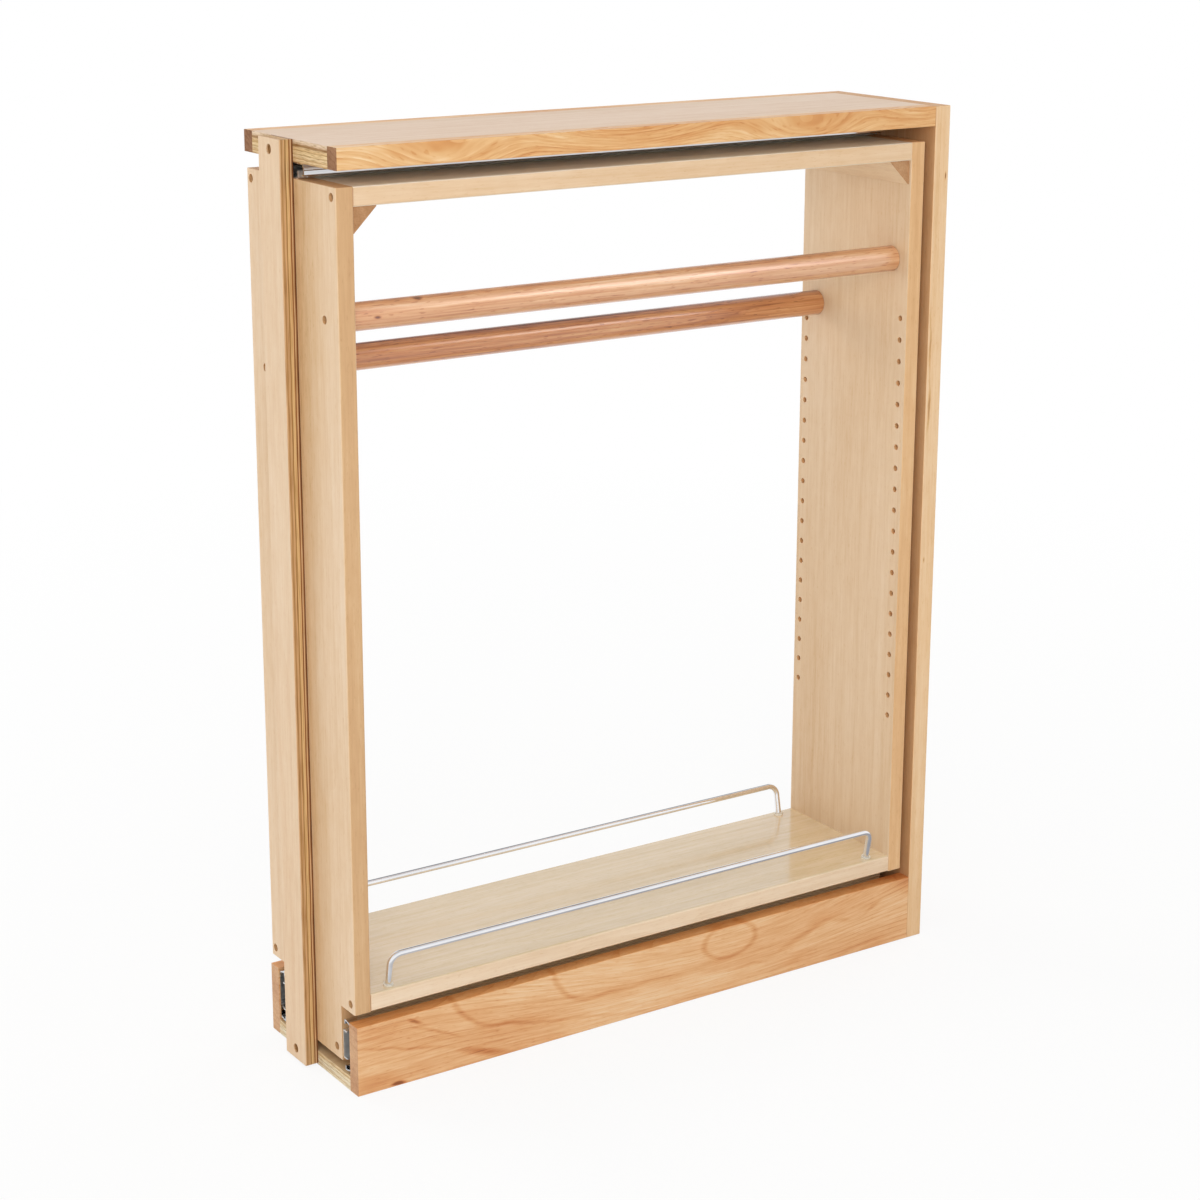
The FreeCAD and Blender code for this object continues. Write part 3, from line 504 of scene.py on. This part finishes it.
alderStrip = woodMaterial({
    **alder, "name": "sprayedAlderTopStrip", "grain": "YZX", "seed": 53.0,
    "tones": ["f2d1a4", "e8ba82", "da9d60", "c57c42", "925328"],
    "ends": ["b08460", "9c704e", "885c3c", "70482c", "54321c"],
    "swells": [
        {"place": (0.0762, -0.200, 0.744), "size": (0.3, 0.10, 0.030), "height": 0.018},
        {"place": (0.0762, -0.030, 0.764), "size": (0.3, 0.12, 0.030), "height": 0.022},
        {"place": (0.0762, 0.150, 0.746), "size": (0.3, 0.11, 0.030), "height": 0.020},
        {"place": (0.0762, 0.270, 0.762), "size": (0.3, 0.07, 0.026), "height": 0.014},
    ],
    "layers": [
        {"size": (120, 14, 14), "detail": 2.0,
         "spacing": 4.5, "wander": 2.0, "sharp": 3.0, "faint": 0.3, "weight": 0.3},
        *alder["layers"][1:],
    ],
})

# solid maple board, planed: pale honey, slow streaks and dark flecks on the near edge
rearMaple = woodMaterial({
    **maple, "name": "planedMapleRearBoard", "grain": "ZXY", "seed": 61.0, "base": 0.3,
    "tones": ["f4d6b0", "e9c294", "d8a870", "9a663c"],
    # the faces other than the near edge get darker, redder tones, a painted shade and warm bounce for the narrow
    # gap behind the pull-out
    "edge": {"face": "X", "tones": ["e0b68a", "d1a070", "be8858", "8e5c34"]},
    "spots": [
        {"place": (0.0762, 0.2975, 0.702), "size": (0.01, 0.0014, 0.005), "weight": 0.9},
        {"place": (0.0762, 0.2880, 0.500), "size": (0.01, 0.0020, 0.034), "weight": 0.7},
        {"place": (0.0762, 0.2870, 0.560), "size": (0.01, 0.0016, 0.050), "weight": 0.5},
        {"place": (0.0762, 0.2890, 0.362), "size": (0.01, 0.0014, 0.004), "weight": 0.6},
    ],
})

# lacquered beech, turned: warm reddish tan, long fine streaks, a soft bright line where the lamp catches it
beech = {
    **alder, "grain": "YXZ", "slope": 0.0, "rough": 0.32, "gloss": 0.6, "coat": 1.0, "coatRough": 0.24,
    "tones": ["efc698", "dfa872", "cd8852", "a96336", "723d1f"], "ends": ["dcb088", "c8936a", "b07a52", "8c5a38"],
    "layers": [
        {"size": (200, 16, 16), "detail": 1.0,
         "spacing": 7, "wander": 2.0, "sharp": 3.0, "faint": 0.3, "weight": 0.16},
        {"size": (170, 30, 30), "detail": 1.0, "weight": 0.35},
        {"size": (120, 1.9, 1.9), "detail": 2.0, "weight": 0.8},
        {"size": (9, 0.9, 0.9), "detail": 0.0, "above": 0.68, "weight": 0.25},
        {"size": (30, 1.1, 1.1), "detail": 1.0, "weight": 0.4},
    ],
}
upperBeech = woodMaterial({
    **beech, "name": "turnedBeechUpperBar", "seed": 71.0, "base": 0.31,
    "tones": ["f0c9a2", "e0ab7d", "ce8d5d", "aa683f", "744026"],
    "spots": [
        {"place": (0.0615, -0.250, 0.6305), "size": (0.01, 0.005, 0.0018), "weight": 0.9},
        {"place": (0.0560, -0.212, 0.6405), "size": (0.01, 0.006, 0.002), "weight": 0.6},
        # two long bands along the bar are painted shade: the top darker and more orange, the lower flank a little
        # darker
        {"place": (0.0512, 0.0, 0.6430), "size": (0.012, 9.0, 0.0060), "weight": 0.32},
        {"place": (0.0560, 0.0, 0.6205), "size": (0.010, 9.0, 0.0050), "weight": 0.12},
    ],
})
lowerBeech = woodMaterial({
    **beech, "name": "turnedBeechLowerBar", "seed": 77.0, "base": 0.50,
    # the long band along the bar's top is painted shade, darker and redder; the whole bar is also drawn darker than
    # the upper one
    "spots": [{"place": (-0.0512, 0.0, 0.5886), "size": (0.014, 9.0, 0.0060), "weight": 0.35}],
})
print("woods mixed")


# metal and plastic: one noise drives a slight change of tone and gloss, and a shallow bump
plainLook = {"detail": 3.0, "roughRange": (0.25, 0.75), "toneRange": (0.3, 0.7), "bumpDepth": 0.00005}


def plainMaterial(spec):
    look = plainLook
    material, tree = startMaterial(spec["name"])
    place = addNode(tree, "ShaderNodeTexCoord").outputs["Object"]
    scale = [1000 / size for size in spec["size"]]
    spread = addNode(tree, "ShaderNodeVectorMath", {0: place, 1: scale}, operation="MULTIPLY")
    marks = addNode(tree, "ShaderNodeTexNoise", {"Vector": spread, "Scale": 1.0, "Detail": look["detail"]})
    low, high = look["roughRange"]
    least, most = spec["rough"]
    rough = addNode(tree, "ShaderNodeMapRange", {0: marks, 1: low, 2: high, 3: least, 4: most})
    tone = addNode(tree, "ShaderNodeValToRGB", {0: marks}, stops=zip(look["toneRange"], spec["tones"]))
    bump = addNode(tree, "ShaderNodeBump", {
        "Strength": spec["bump"], "Distance": look["bumpDepth"], "Height": marks,
    })
    shader = addNode(tree, "ShaderNodeBsdfPrincipled", {
        "Base Color": tone, "Roughness": rough, "Normal": bump, "Metallic": spec["metallic"],
    })
    addNode(tree, "ShaderNodeOutputMaterial", {"Surface": shader})
    return material


# chrome plate, polished: a hard clear mirror with a few soft wipe marks
chrome = plainMaterial({"name": "polishedChromePlate", "size": (12, 40, 12), "rough": (0.03, 0.08),
                        "tones": ["eaebee", "f6f6f8"], "metallic": 1.0, "bump": 0.01})
# zinc plated steel, cold rolled: bright with fine draw lines along the slide
brightZinc = plainMaterial({"name": "rolledZincSteel", "size": (1.2, 160, 1.2), "rough": (0.05, 0.12),
                            "tones": ["c8c9cb", "dedfe0"], "metallic": 1.0, "bump": 0.03})
# zinc plated steel, tumbled after pressing: paler, and too soft a shine to mirror anything
dullZinc = plainMaterial({"name": "tumbledZincSteel", "size": (1.6, 30, 1.6), "rough": (0.45, 0.58),
                          "tones": ["ececea", "f6f6f4"], "metallic": 1.0, "bump": 0.05})
# bearing steel, ground and polished
ballSteel = plainMaterial({"name": "polishedBearingSteel", "size": (5, 5, 5), "rough": (0.05, 0.12),
                           "tones": ["cfd1d4", "e2e3e5"], "metallic": 1.0, "bump": 0.0})
# yellow zinc plated screws, tumbled: dull gold with a grey cast
screwZinc = plainMaterial({"name": "tumbledYellowZinc", "size": (2, 2, 2), "rough": (0.25, 0.45),
                           "tones": ["b09a70", "cfbc92"], "metallic": 1.0, "bump": 0.1})
# black nylon, moulded: fine satin grain
cageNylon = plainMaterial({"name": "mouldedBlackNylon", "size": (1.4, 1.4, 1.4), "rough": (0.42, 0.6),
                           "tones": ["121212", "1d1d1e"], "metallic": 0.0, "bump": 0.25})
# natural nylon, moulded: milky and slightly waxy
bushNylon = plainMaterial({"name": "mouldedNaturalNylon", "size": (1.6, 1.6, 1.6), "rough": (0.35, 0.5),
                           "tones": ["e4dccb", "efe9dc"], "metallic": 0.0, "bump": 0.1})
print("metals and plastics mixed")


slides = ("top", "near", "far")
finishes = {
    frontMaple: ["front_panel"],
    rearPanelMaple: ["rear_panel"],
    railMaple: ["top_rail"],
    shelfMaple: ["bottom_shelf"],
    topMaple: ["top_core"],
    stripPly: ["front_strip"],
    basePly: ["base_panel"],
    runnerPly: ["runner_near", "runner_far"],
    alderRail: ["base_rail_near", "base_rail_far"],
    alderStrip: ["top_strip_near", "top_strip_far"],
    blockMaple: ["corner_block_front", "corner_block_rear"],
    rearMaple: ["rear_board"],
    bushNylon: ["gallery_bushes"],
    screwZinc: ["rear_board_screws", "strip_screws", "front_panel_screws", "rear_panel_screws",
                *[side + "_slide_" + part + "_screws" for side in slides for part in ("frame", "pullout")]],
    cageNylon: [side + "_slide_" + part + "_cage" for side in slides for part in ("outer", "inner")],
    ballSteel: [side + "_slide_" + part + "_balls" for side in slides for part in ("outer", "inner")],
}
for material, names in finishes.items():
    for name in names:
        if not nodes[name].material_slots:
            nodes[name].data.materials.append(material)
        for slot in nodes[name].material_slots:
            slot.material = material
print("boards and small parts dressed")


# turns a bmesh into a piece that stands for a cad node; edges over the sharp angle stay hard
def addPiece(bm, spec, material, body, sharp=35, weld=1e-6):
    bmesh.ops.remove_doubles(bm, verts=bm.verts, dist=weld)
    bmesh.ops.recalc_face_normals(bm, faces=bm.faces)
    for face in bm.faces:
        face.smooth = True
    for edge in bm.edges:
        edge.smooth = len(edge.link_faces) == 2 and edge.calc_face_angle() < math.radians(sharp)
    mesh = bpy.data.meshes.new(spec["name"])
    bm.to_mesh(mesh)
    bm.free()
    mesh.materials.append(material)
    piece = bpy.data.objects.new(spec["name"], mesh)
    scene.collection.objects.link(piece)
    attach(piece, body)
    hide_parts(spec["node"])


# towel bars: turned rods with softly broken ends
barShape = {"segments": 72, "ease": 0.0008, "easeSteps": 4}
barSpecs = [
    {"name": "upperBarTurned", "node": "upper_towel_bar", "slot": "bar_hardwood", "wood": upperBeech},
    {"name": "lowerBarTurned", "node": "lower_towel_bar", "slot": "bar_hardwood", "wood": lowerBeech},
]
for spec in barSpecs:
    low, high = (Vector(corner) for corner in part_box(spec["node"]))
    radius = (high.z - low.z) / 2
    bm = bmesh.new()
    bmesh.ops.create_cone(bm, cap_ends=True, segments=barShape["segments"], radius1=radius, radius2=radius,
                          depth=high.y - low.y)
    bmesh.ops.rotate(bm, verts=bm.verts, cent=(0, 0, 0), matrix=Matrix.Rotation(math.pi / 2, 3, "X"))
    bmesh.ops.translate(bm, verts=bm.verts, vec=(low + high) / 2)
    rims = [edge for edge in bm.edges if any(len(face.verts) > 4 for face in edge.link_faces)]
    bmesh.ops.bevel(bm, geom=rims, offset=barShape["ease"], segments=barShape["easeSteps"], profile=0.5,
                    affect="EDGES", material=-1)
    addPiece(bm, spec, spec["wood"], "pullout")
print("bars turned")


# gallery rails: one chrome rod each, bent up out of the shelf at both ends and leaning outwards
galleryShape = {
    "rod": 0.00275, "foot": 0.0652, "shelfTop": 0.085, "runs": (-0.25425, 0.24175), "height": 0.0285,
    "bend": 0.009, "lean": 11.0, "socket": 0.009, "segments": 28, "steps": 14,
}
gallerySpecs = [
    {"name": "galleryRodNear", "node": "gallery_rail_near", "slot": "chrome_rod", "side": 1},
    {"name": "galleryRodFar", "node": "gallery_rail_far", "slot": "chrome_rod", "side": -1},
]


def drawOn(bm, face, way):
    grown = bmesh.ops.extrude_face_region(bm, geom=[face, *face.edges, *face.verts])["geom"]
    bmesh.ops.translate(bm, verts=[item for item in grown if isinstance(item, bmesh.types.BMVert)], vec=way)
    return next(item for item in grown if isinstance(item, bmesh.types.BMFace))


def bendOn(bm, face, pivot, axis, steps):
    turned = bmesh.ops.spin(bm, geom=[face, *face.edges, *face.verts], cent=pivot, axis=axis,
                            angle=math.pi / 2, steps=steps)
    return next(item for item in turned["geom_last"] if isinstance(item, bmesh.types.BMFace))


for spec in gallerySpecs:
    shape = galleryShape
    tilt = Matrix.Rotation(spec["side"] * math.radians(shape["lean"]), 3, "Y")
    upward = tilt @ Vector((0, 0, 1))
    along = Vector((0, 1, 0))
    axis = upward.cross(along)
    front, rear = (Vector((spec["side"] * shape["foot"], run, shape["shelfTop"])) for run in shape["runs"])
    leg = shape["height"] - shape["bend"]
    bm = bmesh.new()
    bmesh.ops.create_circle(bm, cap_ends=True, radius=shape["rod"], segments=shape["segments"])
    bmesh.ops.rotate(bm, verts=bm.verts, cent=(0, 0, 0), matrix=tilt)
    bmesh.ops.translate(bm, verts=bm.verts, vec=front - upward * shape["socket"])
    bm.faces.ensure_lookup_table()
    end = drawOn(bm, bm.faces[0], upward * (leg + shape["socket"]))
    end = bendOn(bm, end, front + upward * leg + along * shape["bend"], axis, shape["steps"])
    end = drawOn(bm, end, along * ((rear - front).length - 2 * shape["bend"]))
    end = bendOn(bm, end, rear + upward * leg - along * shape["bend"], axis, shape["steps"])
    drawOn(bm, end, -upward * (leg + shape["socket"]))
    addPiece(bm, spec, chrome, "pullout")
print("gallery rails bent")


# slide members: strips of sheet folded along their length, in millimetres of depth from the frame
# and reach from the middle. folds over the crease angle are bent round, the small steps stay as drawn
channelLook = {"crease": 57, "bendSteps": 5, "sharp": 22}
channelShapes = {
    "cabinet": {"folds": [(9.7, -18.6), (9.7, -22.5), (8.3, -22.4), (5.6, -22.2), (4.8, -21.7), (3.0, -21.5),
                          (2.2, -21), (0, -20.8), (0, 20.8), (2.2, 21), (3.0, 21.5), (4.8, 21.7), (5.6, 22.2),
                          (8.3, 22.4), (9.7, 22.5), (9.7, 18.6)],
                "sheet": 1.2, "bend": 1.2, "steel": brightZinc},
    "middle": {"folds": [(11.4, -13.9), (11.4, -17.1), (4.1, -17.1), (4.1, 17.1), (11.4, 17.1), (11.4, 13.9)],
               "sheet": 1.0, "bend": 1.4, "steel": dullZinc},
    "drawer": {"folds": [(6.25, 12.5), (12.7, 12.5), (12.7, -12.5), (6.25, -12.5)], "sheet": 1.0, "bend": 1.4,
               "steel": dullZinc},
}
slideFacing = {"top": (0, 0, -1), "near": (-1, 0, 0), "far": (1, 0, 0)}
channelBodies = {"cabinet": "frame", "middle": "{}_middle", "drawer": "pullout"}


def addChannel(side, part, shape):
    spec = {"name": side + part.capitalize() + "Member", "node": side + "_slide_" + part + "_member",
            "slot": "zinc_steel"}
    wall = [Vector(corner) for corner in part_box(side + "_slide_cabinet_member")]
    low, high = (Vector(corner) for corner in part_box(spec["node"]))
    along = Vector((0, 1, 0))
    facing = Vector(slideFacing[side])
    reach = facing.cross(along)
    depth = abs((wall[1] - wall[0]).dot(facing)) / 2
    root = (wall[0] + wall[1]) / 2 - facing * depth
    root.y = low.y
    bm = bmesh.new()
    verts = [bm.verts.new(root + (facing * fold[0] + reach * fold[1]) / 1000) for fold in shape["folds"]]
    for pair in zip(verts, verts[1:]):
        bm.edges.new(pair)
    grown = bmesh.ops.extrude_edge_only(bm, edges=bm.edges[:])["geom"]
    moved = [item for item in grown if isinstance(item, bmesh.types.BMVert)]
    bmesh.ops.translate(bm, verts=moved, vec=along * (high.y - low.y))
    crease = math.radians(channelLook["crease"])
    creases = [edge for edge in bm.edges if len(edge.link_faces) == 2 and edge.calc_face_angle() > crease]
    bmesh.ops.bevel(bm, geom=creases, offset=shape["bend"] / 1000, segments=channelLook["bendSteps"],
                    profile=0.5, affect="EDGES", material=-1)
    bmesh.ops.solidify(bm, geom=bm.faces[:], thickness=-shape["sheet"] / 1000)
    addPiece(bm, spec, shape["steel"], channelBodies[part].format(side), channelLook["sharp"])


for side in slides:
    for part, shape in channelShapes.items():
        addChannel(side, part, shape)
print("slides folded")

# the glint card shows on the bars alone, so it doesn't glare on the shelf, the top or the chrome
glintPieces = bpy.data.collections.new("glintPieces")
for spec in barSpecs:
    glintPieces.objects.link(bpy.data.objects[spec["name"]])
bpy.data.objects["glintCard"].light_linking.receiver_collection = glintPieces
print("glint linked to the bars")
